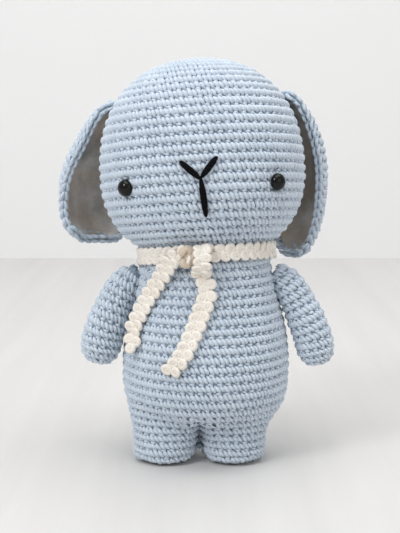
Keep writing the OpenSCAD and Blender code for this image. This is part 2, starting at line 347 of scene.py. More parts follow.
blue_yarn = yarn_finish("blue_yarn", (0.42, 0.50, 0.60), (0.71, 0.785, 0.865))
edging_yarn = yarn_finish("edging_yarn", (0.38, 0.46, 0.56), (0.66, 0.74, 0.82))
# Painted shade: the seams use the same yarn, coloured darker for the shade in the joins.
sewing_yarn = yarn_finish("sewing_yarn", (0.22, 0.29, 0.39), (0.45, 0.55, 0.66))
cream_yarn = yarn_finish("cream_yarn", (0.76, 0.69, 0.60), (0.92, 0.89, 0.84), 2.0, 0.8, 0.00015)
black_thread = yarn_finish("black_thread", (0.001, 0.001, 0.002), (0.009, 0.009, 0.011), 2.0, 1.2,
                           0.00020, 0.0, 0.8, 0.06)


# %% The shaded yarn behind the stitches, felt, plastic and stuffing
def painted_shade_backing(name, shade, light):
    """The backs of the stitches, seen in the gaps: the same yarn, painted darker for the shade that falls
    there, and only fibres show.
    """
    f = Finish(name)
    share = (f.noise(900, 3.0, 0.6) * 1.2 - 0.1).held()
    return f.surface(Base_Color=f.mixed(share, shade, light), Roughness=0.95,
                     Specular_IOR_Level=0.1, Normal=f.bump(f.noise(1500, 2.0), 0.6, 0.0003))


def felt_finish():
    """Pressed wool felt: long soft blotches over a mat of short fibres."""
    f = Finish("ear_lining")
    blotches = f.noise(45, 3.0, 0.6)
    mat = f.noise(1100, 4.0, 0.7)
    hairs = f.noise(700, 2.0, 0.6, (1, 0.25, 1.6))
    warmth = (f.noise(60, 2.0, 0.5) * 2.6 - 0.95).held()
    grey = f.mixed((blotches * 3.0 + mat * 0.8 - 1.42).held(), (0.31, 0.30, 0.285), (0.76, 0.725, 0.675))
    colour = f.mixed(warmth * 0.7, grey, (0.64, 0.46, 0.32))
    return f.surface(Base_Color=colour, Roughness=0.95, Sheen_Weight=0.3, Sheen_Roughness=0.7,
                     Normal=f.bump(mat * 0.6 + hairs * 0.5, 0.7, 0.0004), Specular_IOR_Level=0.15)


def plastic_finish(name, shade, light, rough, coat):
    """Moulded plastic with the faint unevenness of its mould."""
    f = Finish(name)
    cloud = f.noise(300, 2.0)
    return f.surface(Base_Color=f.mixed(cloud, shade, light), Roughness=cloud * 0.06 + rough,
                     Specular_IOR_Level=coat,
                     Normal=f.bump(f.noise(500, 1.0), 0.05, 0.0001))


def stuffing_finish():
    """Loose white fibre."""
    f = Finish("stuffing")
    tufts = f.noise(140, 4.0, 0.6)
    return f.surface(Base_Color=f.mixed(tufts, (0.72, 0.71, 0.68), (0.93, 0.93, 0.91)),
                     Roughness=0.9, Sheen_Weight=0.2,
                     Normal=f.bump(tufts + f.noise(900, 3.0) * 0.4, 0.8, 0.001))


# Painted shade: the backing behind the stitches is coloured darker than the yarn, for the shade in the gaps.
blue_painted_shade = painted_shade_backing("blue_yarn_painted_shade", (0.20, 0.26, 0.34), (0.38, 0.45, 0.54))
cream_painted_shade = painted_shade_backing("cream_yarn_painted_shade", (0.60, 0.51, 0.41), (0.82, 0.76, 0.67))
# Painted shade: a darker cream for the shaded underside of the loop inside the knot.
cream_shade = yarn_finish("cream_knot_painted_shade", (0.50, 0.39, 0.29), (0.78, 0.69, 0.58), 2.0, 0.8, 0.00020)
ear_felt = felt_finish()
eye_plastic = plastic_finish("eye_plastic", (0.001, 0.001, 0.001), (0.004, 0.004, 0.004), 0.06, 0.26)
washer_plastic = plastic_finish("washer_plastic", (0.70, 0.70, 0.68), (0.85, 0.85, 0.83), 0.4, 0.1)
stuffing = stuffing_finish()
print("finishes", [m.name for m in bpy.data.materials][-12:])

# %% [markdown]
# ## Stitches to plant
# A single crochet seen from outside is two strands that lean the same way, with the top of the stitch
# below as a small bump between them. Each is a short closed strand whose ends dive into the fabric.
# A unit stitch is one wide and one high, with x to the right, y up and z outwards, and a Geometry
# Nodes tree plants it on points that carry their own directions and sizes.


# %% Unit stitches
def strand(points, fat, sides=6, rings=6, sink=0.34):
    """A rice-shaped strand through the points, with its ends sunk in the fabric."""
    path = smooth_path(points, rings)
    t = np.linspace(0, 1, rings)
    radii = fat * np.sin(np.pi * (0.08 + 0.84 * t)) ** 0.55
    path[:, 2] -= sink * (2 * t - 1) ** 4
    return tube(path, radii, sides, v_scale=1.2)


def stitch_unit(name, strands):
    """A unit stitch, kept out of the picture."""
    piece = mesh_piece(name, merged(strands), 1.0)
    piece.hide_render = piece.hide_viewport = True
    return piece


body_stitch = stitch_unit("unit_body_stitch", [
    strand([(-0.58, 0.50, 0.02), (-0.26, 0.17, 0.12), (0.08, -0.26, 0.02)], 0.245),
    strand([(-0.08, 0.50, 0.02), (0.24, 0.17, 0.11), (0.56, -0.22, 0.01)], 0.232),
    strand([(-0.46, -0.37, -0.04), (-0.18, -0.37, 0.05), (0.12, -0.42, -0.04)], 0.185, rings=5)])
head_stitch = stitch_unit("unit_head_stitch", [
    strand([(-0.56, 0.46, 0.02), (-0.26, 0.14, 0.13), (0.03, -0.28, 0.03)], 0.265),
    strand([(-0.06, 0.47, 0.02), (0.24, 0.12, 0.12), (0.52, -0.32, 0.00)], 0.248),
    strand([(-0.46, -0.38, -0.04), (-0.20, -0.39, 0.03), (0.08, -0.42, -0.04)], 0.185, rings=5)])
chain_stitch = stitch_unit("unit_chain_stitch", [
    strand([(-0.24, 0.78, 0.00), (-0.26, 0.20, 0.14), (-0.06, -0.56, -0.02)], 0.245),
    strand([(0.24, 0.78, 0.00), (0.26, 0.20, 0.14), (0.06, -0.56, -0.02)], 0.245)])


def petal(side):
    """One loop of the scarf's cord: a ring of yarn, pressed oval, whose lower end lies on the next."""
    turn = np.linspace(0, 2 * np.pi, 12, endpoint=False)
    lean = math.radians(20) * side
    x, y = 0.265 * np.cos(turn), 0.265 * np.sin(turn)
    ring = np.stack([x * math.cos(lean) - y * math.sin(lean),
                     x * math.sin(lean) + y * math.cos(lean), -0.34 * y], axis=1)
    heart = strand([(0.0, 0.20, -0.10), (0.0, 0.0, -0.02), (0.0, -0.18, 0.06)], 0.17, rings=4, sink=0.1)
    return merged([ring_tube(ring, 0.19, 6, 1.2), heart])


petal_left = stitch_unit("unit_petal_left", [petal(-1)])
petal_right = stitch_unit("unit_petal_right", [petal(1)])
print("faces in a body stitch", len(body_stitch.data.polygons))

# %% [markdown]
# ## The planting tree
# Each point has a direction out of the fabric, a direction to the right and a size. The tree turns
# and scales a stitch to them, with a little seeded unevenness, as no two hand-made stitches match.


# %% The planting tree
def planting_tree():
    """Geometry Nodes that plant a stitch on every point."""
    tree = bpy.data.node_groups.new("plant_stitches", "GeometryNodeTree")
    ports = {}
    for name, kind in (("Places", "Geometry"), ("Stitch", "Object"), ("Unevenness", "Float"),
                       ("Wobble", "Float"), ("Seed", "Int"), ("Yarn", "Material")):
        port = tree.interface.new_socket(name=name, in_out="INPUT", socket_type="NodeSocket" + kind)
        ports[name] = port.identifier
    tree.interface.new_socket(name="Stitches", in_out="OUTPUT", socket_type="NodeSocketGeometry")

    def add(kind, settings=(), **sockets):
        made = tree.nodes.new(kind)
        for key, value in dict(settings).items():
            setattr(made, key, value)
        for key, value in sockets.items():
            slot = made.inputs[key.replace("_", " ")]
            if isinstance(value, bpy.types.NodeSocket):
                tree.links.new(value, slot)
            else:
                slot.default_value = value
        return made

    given = add("NodeGroupInput").outputs

    def carried(name):
        return add("GeometryNodeInputNamedAttribute", {"data_type": "FLOAT_VECTOR"}, Name=name).outputs[0]

    def scaled(number, by):
        made = add("ShaderNodeVectorMath", {"operation": "SCALE"}, Scale=number)
        made.inputs[0].default_value = by
        return made.outputs[0]

    def spread(amount, seed_step):
        seed = add("ShaderNodeMath", {"operation": "ADD"})
        tree.links.new(given["Seed"], seed.inputs[0])
        seed.inputs[1].default_value = seed_step
        made = add("FunctionNodeRandomValue", {"data_type": "FLOAT_VECTOR"})
        tree.links.new(scaled(amount, (-1, -1, -1)), made.inputs[0])
        tree.links.new(scaled(amount, (1, 1, 1)), made.inputs[1])
        tree.links.new(seed.outputs[0], made.inputs["Seed"])
        return made.outputs[0]

    facing = add("FunctionNodeAxesToRotation", {"primary_axis": "Z", "secondary_axis": "X"},
                 Primary_Axis=carried("out"), Secondary_Axis=carried("right"))
    wobble = add("FunctionNodeEulerToRotation", Euler=spread(given["Wobble"], 1))
    turn = add("FunctionNodeRotateRotation", {"rotation_space": "LOCAL"},
               Rotation=facing.outputs[0], Rotate_By=wobble.outputs[0])
    grow = add("ShaderNodeVectorMath", {"operation": "MULTIPLY_ADD"})
    tree.links.new(carried("size"), grow.inputs[0])
    tree.links.new(spread(given["Unevenness"], 2), grow.inputs[1])
    tree.links.new(carried("size"), grow.inputs[2])
    model = add("GeometryNodeObjectInfo", {"transform_space": "ORIGINAL"},
                Object=given["Stitch"], As_Instance=True)
    planted = add("GeometryNodeInstanceOnPoints", Points=given["Places"],
                  Instance=model.outputs["Geometry"], Rotation=turn.outputs[0], Scale=grow.outputs[0])
    tone = add("FunctionNodeRandomValue", {"data_type": "FLOAT"}, Seed=3)
    toned = add("GeometryNodeStoreNamedAttribute", {"data_type": "FLOAT", "domain": "INSTANCE"},
                Geometry=planted.outputs[0], Name="tone")
    tree.links.new(tone.outputs[1], [s for s in toned.inputs if s.name == "Value" and s.enabled][0])
    real = add("GeometryNodeRealizeInstances", Geometry=toned.outputs[0])
    dyed = add("GeometryNodeSetMaterial", Geometry=real.outputs[0], Material=given["Yarn"])
    tree.links.new(dyed.outputs[0], add("NodeGroupOutput").inputs[0])
    return tree, ports


PLANTING, PORTS = planting_tree()


def planted(name, spots, stitch, yarn, seed, unevenness=0.07, wobble=0.09):
    """A plain mesh of stitches. spots has place, out, right and size, in millimetres."""
    mesh = bpy.data.meshes.new(name + "_places")
    mesh.from_pydata((np.asarray(spots["place"]) * MM).tolist(), [], [])
    for key, scale in (("out", 1.0), ("right", 1.0), ("size", MM)):
        store = mesh.attributes.new(key, "FLOAT_VECTOR", "POINT")
        store.data.foreach_set("vector", (np.asarray(spots[key]) * scale).astype(np.float32).ravel())
    places = bpy.data.objects.new(name + "_places", mesh)
    bpy.context.scene.collection.objects.link(places)
    grower = places.modifiers.new("plant", "NODES")
    grower.node_group = PLANTING
    for key, value in (("Stitch", stitch), ("Unevenness", unevenness), ("Wobble", wobble),
                       ("Seed", seed), ("Yarn", yarn)):
        grower[PORTS[key]] = value
    graph = bpy.context.evaluated_depsgraph_get()
    grown = bpy.data.meshes.new_from_object(places.evaluated_get(graph))
    bpy.data.objects.remove(places)
    grown.polygons.foreach_set("use_smooth", np.ones(len(grown.polygons), bool))
    piece = bpy.data.objects.new(name, grown)
    bpy.context.scene.collection.objects.link(piece)
    print(name, len(spots["place"]), "stitches", len(grown.polygons), "faces")
    return piece


# %% Each piece's place in the frame
def fitted(piece, body, node):
    """The piece rides on a body and stands for a node, which is hidden."""
    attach(piece, body)
    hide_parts(node)


# %% [markdown]
# ## The scarf's tails
# The scarf is one flat crocheted cord of two rows of loops. Its two ends hang from the knot over the
# belly, so they are the free cords here: limp, about ten millimetres wide, ended bare. Each is a flat
# core with a loop planted at every step on its left and on its right, half a step apart.

# %% Routes of the tails, from the knot down
CORD_WIDTH = 9.4
CORD_STEP = 5.7
TAIL_ROUTES = {
    "left": [(-9, -45, 123.5), (-14, -42.5, 123.5), (-18.5, -40, 120.5), (-22, -36.5, 115),
             (-25, -34.5, 109.5), (-28.5, -32.5, 104), (-32, -31, 98), (-35.5, -29.5, 91.5),
             (-38.5, -28.5, 85), (-41, -28, 78.5), (-40.5, -30, 72.5), (-40, -31.5, 69)],
    "right": [(-4, -45, 118), (-3, -43.5, 114.5), (-1, -42.3, 110.5), (1, -43, 105.5),
              (0.5, -44.2, 100.5), (-1.5, -45.5, 95), (-4, -46.8, 88.5), (-6.5, -48.2, 82),
              (-9.5, -49.1, 75.5), (-12.5, -49.3, 69), (-16.5, -48.6, 63), (-21, -47.2, 58)]}


def petal_cord(name, path, outward, seed, width=CORD_WIDTH, step=CORD_STEP, closed=False):
    """Two rows of loops on a flat core along a path, with outward pointing off the belly."""
    total = lengths(path)[-1]
    count = max(2, int(round(total / step)))
    pieces = []
    for side, unit_petal in ((-1, petal_left), (1, petal_right)):
        shift = 0.25 if side < 0 else 0.75
        at = (np.arange(count) + shift) / count * total
        s = lengths(path)
        grid = [np.stack([np.interp(at, s, a[:, k]) for k in range(3)], axis=1)
                for a in (path, headings(path), outward)]
        place, along, out = grid[0], unit(grid[1]), unit(grid[2])
        right = unit(np.cross(out, along) * -1)
        out = unit(np.cross(right, -along))
        size = np.tile([width * 0.80, total / count * 1.30, width * 0.62], (count, 1))
        pieces.append(planted(name + ("_l" if side < 0 else "_r"), {
            "place": place + right * side * width * 0.235 + out * 0.3, "out": out + right * side * 0.22,
            "right": right, "size": size}, unit_petal, cream_yarn, seed + side, 0.06, 0.10))
    if closed:
        core_path, facing = path, outward
    else:
        core_path, facing = path[3:-3], outward[3:-3]
    # The flat core between the loops is coloured in painted shade, darker than the cream yarn.
    core = mesh_piece(name + "_core", tube(core_path - facing * 0.9, width * 0.30, 8, facing, 0.30),
                      material=cream_painted_shade)
    return joined(name, [pieces[0], pieces[1], core])


for side, route in TAIL_ROUTES.items():
    path = smooth_path(route, 60)
    forward = -38 if side == "left" else -14
    outward = unit(np.stack([path[:, 0], path[:, 1], np.zeros(len(path))], axis=1) + (0, forward, 4))
    path = path + TOY + outward * (0.9 if side == "left" else 0.2)
    tail = petal_cord(f"scarf_tail_{side}_cord", path, outward, 20 if side == "left" else 30)
    fitted(tail, "torso", "scarf_tail_" + side)
    path[0] * MM
    [p * MM for p in path]

# %% [markdown]
# ## Stuffed forms
# A crocheted shell takes its shape from the stuffing pushed into it. The form is first lofted from
# the pattern's own radii, fused by a voxel remesh, and then blown out a little by Blender's cloth
# with pressure, so that it swells where nothing holds it. Points may move only a millimetre or so,
# and never through the floor. The stitches come after that, because a remesh would erase them.

# %% Lofts and the cloth that swells them
YARN_INSET, BEHIND = 1.3, 0.55


def revolved(outline, matrix, sides=64):
    """A closed solid of revolution from (radius, height) points that start and end on the axis."""
    angle = np.arange(sides) * 2 * np.pi / sides
    body = np.array(outline[1:-1], float)
    ring = np.stack([np.cos(angle), np.sin(angle)], axis=1)
    verts = np.concatenate([np.column_stack([r * ring, np.full(sides, z)]) for r, z in body])
    verts = np.vstack([verts, [0, 0, outline[0][1]], [0, 0, outline[-1][1]]])
    return closed_rings(moved(matrix, verts), len(body), sides)


def closed_rings(verts, count, sides):
    """Faces round equal rings of points, with one pole point for each end at the list's end."""
    faces = [(i * sides + k, i * sides + (k + 1) % sides,
              (i + 1) * sides + (k + 1) % sides, (i + 1) * sides + k)
             for i in range(count - 1) for k in range(sides)]
    low, high, last = count * sides, count * sides + 1, (count - 1) * sides
    faces += [((k + 1) % sides, k, low) for k in range(sides)]
    faces += [(last + k, last + (k + 1) % sides, high) for k in range(sides)]
    return verts, faces, []


def points_of(piece):
    """A mesh's points, in millimetres."""
    co = np.zeros(len(piece.data.vertices) * 3, np.float32)
    piece.data.vertices.foreach_get("co", co)
    return co.reshape(-1, 3).astype(float) / MM


def set_points(piece, points):
    piece.data.vertices.foreach_set("co", (np.asarray(points) * MM).astype(np.float32).ravel())
    piece.data.update()


def settled(piece):
    """The piece's modifiers, applied to its mesh."""
    graph = bpy.context.evaluated_depsgraph_get()
    made = bpy.data.meshes.new_from_object(piece.evaluated_get(graph))
    piece.modifiers.clear()
    piece.data = made
    return piece


def relaxed(piece, times, weight=None):
    """Each point moves towards the mean of its neighbours, as far as its weight says."""
    pairs = np.array([e.vertices[:] for e in piece.data.edges])
    p = points_of(piece)
    w = np.full(len(p), 0.5) if weight is None else weight
    for _ in range(times):
        total, count = np.zeros_like(p), np.zeros(len(p))
        for a, b in ((0, 1), (1, 0)):
            np.add.at(total, pairs[:, a], p[pairs[:, b]])
            np.add.at(count, pairs[:, a], 1)
        p += w[:, None] * (total / count[:, None] - p)
    set_points(piece, p)


def stuffed(name, part, voxel, cap, weight_of=None, times=14):
    """A closed form, remeshed, relaxed and swollen by the stuffing's pressure."""
    piece = mesh_piece(name, part)
    melt = piece.modifiers.new("melt", "REMESH")
    melt.mode, melt.voxel_size = "VOXEL", voxel * MM
    settled(piece)
    relaxed(piece, 3)
    if weight_of is not None:
        for _ in range(times):
            relaxed(piece, 1, weight_of(points_of(piece)))
            relaxed(piece, 1, -1.04 * weight_of(points_of(piece)))
    start = points_of(piece)
    cloth = piece.modifiers.new("pressure", "CLOTH")
    cloth.settings.quality = 6
    cloth.settings.use_pressure = True
    cloth.settings.uniform_pressure_force = 4
    cloth.settings.effector_weights.gravity = 0
    cloth.settings.tension_stiffness = cloth.settings.compression_stiffness = 20
    cloth.settings.bending_stiffness = 2
    scene = bpy.context.scene
    for step in range(1, 21):
        scene.frame_set(step)
    graph = bpy.context.evaluated_depsgraph_get()
    end = np.array([v.co for v in piece.evaluated_get(graph).data.vertices]) / MM
    scene.frame_set(1)
    piece.modifiers.clear()
    move = end - start
    far = np.linalg.norm(move, axis=1, keepdims=True)
    set_points(piece, start + move * np.minimum(1, cap / np.maximum(far, 1e-6)))
    print(name, "cloth moved", round(float(far.mean()), 2), "mm, kept to", cap)
    finer = piece.modifiers.new("finer", "SUBSURF")
    finer.levels = finer.render_levels = 1
    settled(piece)
    p = points_of(piece)
    p[:, 2] = np.maximum(p[:, 2], YARN_INSET)
    set_points(piece, p)
    print(name, len(piece.data.polygons), "faces")
    return piece


# %% [markdown]
# ## Rounds of stitches on any form
# Crochet in the round is a stack of rings, each one stitch high. A height that grows along the
# fabric is worked out at every point of the form. Where it passes each row's height, a closed line
# is traced through the triangles, and it is divided into whole stitches. The height's slope says
# how tall a stitch has to be there, so rows stay closed on the crown and the soles as well.


# %% Tracing the rounds
def slopes(points, triangles, height):
    """The height's gradient and the outward normal at each point."""
    a, b, c = (points[triangles[:, k]] for k in range(3))
    normal = np.cross(b - a, c - a)
    area = np.maximum((normal ** 2).sum(1, keepdims=True), 1e-12)
    grad = (height[triangles[:, 0], None] * np.cross(normal, c - b)
            + height[triangles[:, 1], None] * np.cross(normal, a - c)
            + height[triangles[:, 2], None] * np.cross(normal, b - a)) / area
    weight = np.sqrt(area)
    total, normals, share = np.zeros_like(points), np.zeros_like(points), np.zeros((len(points), 1))
    for k in range(3):
        np.add.at(total, triangles[:, k], grad * weight)
        np.add.at(normals, triangles[:, k], normal)
        np.add.at(share, triangles[:, k], weight)
    return total / np.maximum(share, 1e-9), unit(normals)


def traced(points, triangles, values, height, level):
    """Closed lines where height is level, with the values interpolated along them."""
    above = height > level
    hit = above[triangles]
    crossing = triangles[hit.any(1) & ~hit.all(1)]
    links = {}
    for tri in crossing:
        ends = [tuple(sorted((int(tri[i]), int(tri[(i + 1) % 3])))) for i in range(3)
                if above[tri[i]] != above[tri[(i + 1) % 3]]]
        links.setdefault(ends[0], []).append(ends[1])
        links.setdefault(ends[1], []).append(ends[0])
    found, seen = [], set()
    for start in sorted(links):
        if start in seen:
            continue
        line, here = [], start
        while here is not None and here not in seen:
            seen.add(here)
            line.append(here)
            here = next((n for n in links[here] if n not in seen), None)
        if len(line) > 7:
            pair = np.array(line)
            t = (level - height[pair[:, 0]]) / (height[pair[:, 1]] - height[pair[:, 0]])
            rows = values[pair[:, 0]] * (1 - t[:, None]) + values[pair[:, 1]] * t[:, None]
            found.append(np.vstack([rows, rows[:1]]))
    return found


def rounds(form, height_of, levels, stitch_width, depth, drift=0.14, keep=None):
    """Places for stitches on every round of the form."""
    form.data.calc_loop_triangles()
    triangles = np.array([t.vertices[:] for t in form.data.loop_triangles])
    points = points_of(form)
    height = height_of(points)
    grad, normals = slopes(points, triangles, height)
    values = np.hstack([points, normals, grad])
    spots = {"place": [], "out": [], "right": [], "size": []}
    steps = np.gradient(np.array(levels, float))
    for row, level in enumerate(levels):
        for line in traced(points, triangles, values, height, level + 1e-5):
            length = lengths(line[:, :3])[-1]
            if length < 3 * stitch_width:
                continue
            back = int(np.argmax(line[:-1, 1] + 0.01 * line[:-1, 0]))
            line = np.vstack([line[back:-1], line[:back + 1]])
            up = unit(line[:, 6:9])
            right = np.cross(up, line[:, 3:6])
            if (headings(line[:, :3]) * right).sum() < 0:
                line = line[::-1]
            count = max(6, int(round(length / stitch_width)))
            s = lengths(line[:, :3])
            at = ((np.arange(count) + drift * row) % count) * length / count
            near = np.stack([np.interp(at, s, line[:, k]) for k in range(9)], axis=1)
            out = unit(near[:, 3:6])
            slope = np.maximum(np.linalg.norm(near[:, 6:9], axis=1), 0.3)
            up = unit(near[:, 6:9] - out * (near[:, 6:9] * out).sum(1, keepdims=True))
            tall = np.clip(abs(steps[row]) / slope, 0.72 * stitch_width, 1.5 * stitch_width)
            spots["place"].append(near[:, :3])
            spots["out"].append(out)
            spots["right"].append(np.cross(up, out))
            spots["size"].append(np.stack([np.full(count, length / count), tall,
                                           np.full(count, depth)], axis=1))
    spots = {key: np.vstack(found) for key, found in spots.items()}
    if keep is not None:
        kept = keep(spots["place"])
        spots = {key: found[kept] for key, found in spots.items()}
    return spots


def crocheted(name, form, spots, stitch, seed):
    """Stitches planted on a form, with the form drawn in behind them and coloured in painted shade, as one
    piece.
    """
    stitches = planted(name + "_stitches", spots, stitch, blue_yarn, seed)
    normals = np.zeros(len(form.data.vertices) * 3, np.float32)
    form.data.vertices.foreach_get("normal", normals)
    set_points(form, points_of(form) - BEHIND * normals.reshape(-1, 3))
    # The form behind the stitches takes the painted shade colour, darker than the yarn, so the gaps look
    # shaded.
    form.data.materials.clear()
    form.data.materials.append(blue_painted_shade)
    form.data.polygons.foreach_set("use_smooth", np.ones(len(form.data.polygons), bool))
    piece = joined(name, [stitches, form])
    p = points_of(piece)
    p[:, 2] = np.maximum(p[:, 2], 0.02)
    set_points(piece, p)
    return piece


# %% [markdown]
# ## The head
# The head is a tall egg, widest below its middle, and it leans back and to one side on the neck. It
# is worked from the crown, so the rows are measured as the length of fabric from the crown down.

# %% The head's outline and its rows
HEAD_R, CROWN, CHIN, HEAD_MID, FULLNESS = 59.4, 65.0, 51.4, 46.9, 2.3
HEAD_ROW, HEAD_STITCH = 5.35, 5.25


def head_radius(dh):
    """Radius of the head, dh above its widest round."""
    b = CROWN if dh > 0 else CHIN
    return HEAD_R * (1 - (abs(dh) / b) ** FULLNESS) ** (1 / FULLNESS)


def head_outline(inset, start_h=3.5, steps=40):
    low, high, r, k = CHIN - inset, CROWN - inset, HEAD_R - inset, FULLNESS
    first = -math.asin(((HEAD_MID - start_h) / low) ** (k / 2))
    line = []
    for t in np.linspace(first, math.pi / 2, steps):
        b = -low if t < 0 else high
        line.append((r * math.cos(t) ** (2 / k) if t < math.pi / 2 - 1e-6 else 0.0,
                     HEAD_MID + b * abs(math.sin(t)) ** (2 / k)))
    return [(0.0, line[0][1])] + line


outline = np.array(head_outline(YARN_INSET, steps=200)[1:])
crown_first = outline[::-1]
crown_length = lengths(crown_first)
outline_angle = np.arctan2(crown_first[:, 0], crown_first[:, 1] - HEAD_MID)
HEAD_BACK = np.array(HEAD_FRAME.inverted())


def height_on_head(points):
    """Less the length of fabric from the crown."""
    local = moved(HEAD_BACK, points)
    angle = np.arctan2(np.hypot(local[:, 0], local[:, 1]), local[:, 2] - HEAD_MID)
    return -np.interp(angle, outline_angle, crown_length)


# %% Places on the face
EYE_TURN, EYE_DROP, EYE_NOD = {-1: 46.0, 1: 43.9}, {-1: 8.6, 1: 9.6}, 6.6
EYE_GAP, EYE_DIMPLE, EYE_DIMPLE_R = 3.9, 1.6, 6.5
LINE_DIMPLE, LINE_DIMPLE_R = 0.7, 4.0


def on_face(turn, dh, lift=0.0):
    """A point of the face, turned from its middle, a height from the widest round."""
    a, r = math.radians(turn), head_radius(dh) + lift
    return moved(HEAD_FRAME, [[r * math.sin(a), -r * math.cos(a), HEAD_MID + dh]])[0]


eye_places = np.array([on_face(side * EYE_TURN[side], -EYE_DROP[side]) for side in (-1, 1)])
FACE_LINES = [((-11.6, 3.5), (-0.9, -6.9)), ((8.3, 5.0), (-0.9, -6.3)), ((0.9, -27.2), (-1.0, -5.8))]
face_points = [np.array([on_face(a[0] + (b[0] - a[0]) * t, a[1] + (b[1] - a[1]) * t)
                         for t in np.linspace(0, 1, 12)]) for a, b in FACE_LINES]

# %% The head, stuffed, drawn in at the face, and crocheted
head_form = stuffed("head_form", revolved(head_outline(YARN_INSET), HEAD_FRAME), 4.0, 0.9)
p = points_of(head_form)
towards = unit(p - moved(HEAD_FRAME, [[0, 0, HEAD_MID]]))
for eye in eye_places:
    away = np.linalg.norm(p - eye, axis=1)
    p -= towards * (EYE_DIMPLE * np.exp(-(away / EYE_DIMPLE_R) ** 2))[:, None]
for line in face_points:
    away = np.min(np.linalg.norm(p[:, None] - line[None], axis=2), axis=1)
    p -= towards * (LINE_DIMPLE * np.exp(-(away / LINE_DIMPLE_R) ** 2))[:, None]
set_points(head_form, p)
head_levels = -(np.arange(2, 40) * HEAD_ROW - 0.55 * HEAD_ROW - HEAD_ROW * 0.9)
head_levels = [v for v in head_levels if v > -crown_length[-1] + 2]


def clear_of_eyes(q):
    """Which places are not under an eye."""
    return np.min(np.linalg.norm(q[:, None] - eye_places[None], axis=2), axis=1) > EYE_GAP


head_spots = rounds(head_form, height_on_head, head_levels, HEAD_STITCH, 5.0, keep=clear_of_eyes)
head = crocheted("head_cover_crochet", head_form, head_spots, head_stitch, 41)
fitted(head, "head", "head_cover")

# %% [markdown]
# ## The body and legs
# The legs are worked first, from the soles up, and then joined into one round for the seat. So the
# form is the body's outline fused with two short legs, relaxed where they meet, and the rows are
# measured from the soles.

# %% The body's outline and its rows
NECK_R, BELLY_R, BELLY_Z, CHEST_H, SEAT_H = 36.0, 48.5, 57.0, 73.0, 40.0
LEG_R, LEG_X, SOLE_R, TURN_UP = 19.3, 19.5, 17.0, 6.2
LEGS_MIDDLE = np.array([-3.5, -8.6, 0.0])
BODY_ROW, BODY_STITCH, SEAT_ROW = 5.15, 5.05, 4.45
HIP_OUT, HIP_Z, HIP_SPAN = 2.9, 34, 12
RIGHT_HIP_OUT, RIGHT_HIP_Z, RIGHT_HIP_SPAN = 2.2, 28, 7
SLIT_WIDTH, SLIT_DEPTH, SLIT_DEEPER = 3.3, 9.0, 6.0


def body_outline(inset):
    k, low, r = 2.4, SEAT_H - inset, BELLY_R - inset
    line = [(r * math.cos(t) ** (2 / k), BELLY_Z - low * math.sin(t) ** (2 / k))
            for t in np.radians(np.arange(84, -1, -6))]
    line += [(NECK_R + (BELLY_R - NECK_R) * (1 + math.cos(math.pi * (z - BELLY_Z) / CHEST_H)) / 2
              - inset, z) for z in np.linspace(BELLY_Z, NECK_Z + 4, 16)[1:]]
    return [(0.0, BELLY_Z - low)] + line + [(0.0, NECK_Z + 4)]


def leg_outline(inset):
    line = [(SOLE_R + (LEG_R - SOLE_R - inset) * math.cos(t), TURN_UP + (TURN_UP - inset) * math.sin(t))
            for t in np.radians(np.arange(-90, 1, 15))]
    return [(0.0, inset)] + line + [(LEG_R - inset, 40.0), (0.0, 40.0)]


def height_on_body(points):
    """The length of fabric from the middle of a sole."""
    x, y, z = (points - TOY - LEGS_MIDDLE).T
    rho = np.hypot(np.abs(x) - LEG_X, y)
    side = np.maximum(rho - SOLE_R, 0) / (LEG_R - SOLE_R)
    rise = np.maximum(TURN_UP - z, 0) / TURN_UP
    turn = np.where(rise > 0, np.arctan2(side, np.maximum(rise, 1e-6)), math.pi / 2)
    return np.minimum(rho, SOLE_R) + 11.6 * turn / (math.pi / 2) + np.maximum(z - TURN_UP, 0)


def seat_weight(points):
    """How far the join of the seat and the legs may relax."""
    z = points[:, 2]
    front = np.clip((z - 14) / 8, 0, 1) * np.clip((48 - z) / 14, 0, 1)
    return 0.5 * front


# %% The body, stuffed and crocheted
body_part = merged([revolved(body_outline(YARN_INSET - 0.7), Matrix.Translation(TOY))]
                   + [revolved(leg_outline(YARN_INSET - 0.9),
                               Matrix.Translation(TOY + LEGS_MIDDLE + (s * LEG_X, 0, 0)))
                      for s in (-1, 1)])
body_form = stuffed("body_form", (body_part[0], body_part[1], []), 3.4, 0.9, seat_weight, 22)
p = points_of(body_form)
aside, front, z = (p - TOY - LEGS_MIDDLE).T
p[:, 0] += (np.sign(aside) * HIP_OUT * np.exp(-((z - HIP_Z) / HIP_SPAN) ** 2)
            * np.clip(np.abs(aside) / 22 - 0.6, 0, 1))
p[:, 0] += (RIGHT_HIP_OUT * np.exp(-((z - RIGHT_HIP_Z) / RIGHT_HIP_SPAN) ** 2)
            * np.clip(aside / 22 - 0.6, 0, 1))
slit = np.exp(-(aside / SLIT_WIDTH) ** 2) * np.clip((31 - z) / 9, 0, 1) * np.clip(np.abs(front) / 6, 0, 1)
p[:, 1] -= np.sign(front) * (SLIT_DEPTH + SLIT_DEEPER * np.clip((16 - z) / 12, 0, 1)) * slit
p[:, 2] += 8.0 * np.exp(-(aside / 4.4) ** 2) * np.clip((10 - z) / 8, 0, 1)
set_points(body_form, p)
SOLE_TOP = SOLE_R + 11.6
body_levels = [2.6, 7.6, 12.4, 17.2, 21.6, SOLE_TOP + 0.8]
while body_levels[-1] - SOLE_TOP + TURN_UP < 32:
    body_levels.append(body_levels[-1] + SEAT_ROW)
while body_levels[-1] - SOLE_TOP + TURN_UP < NECK_Z - 2:
    body_levels.append(body_levels[-1] + BODY_ROW)
body_spots = rounds(body_form, height_on_body, body_levels, BODY_STITCH, 4.9)
sole = body_spots["out"][:, 2] < -0.7
body_spots["size"][sole, 2] *= 0.45
body = crocheted("body_cover_crochet", body_form, body_spots, body_stitch, 42)
fitted(body, "torso", "body_cover")

# %% [markdown]
# ## The arms
# Each arm is a slim pear worked from the hand up, and it hangs from its narrow end against the side.

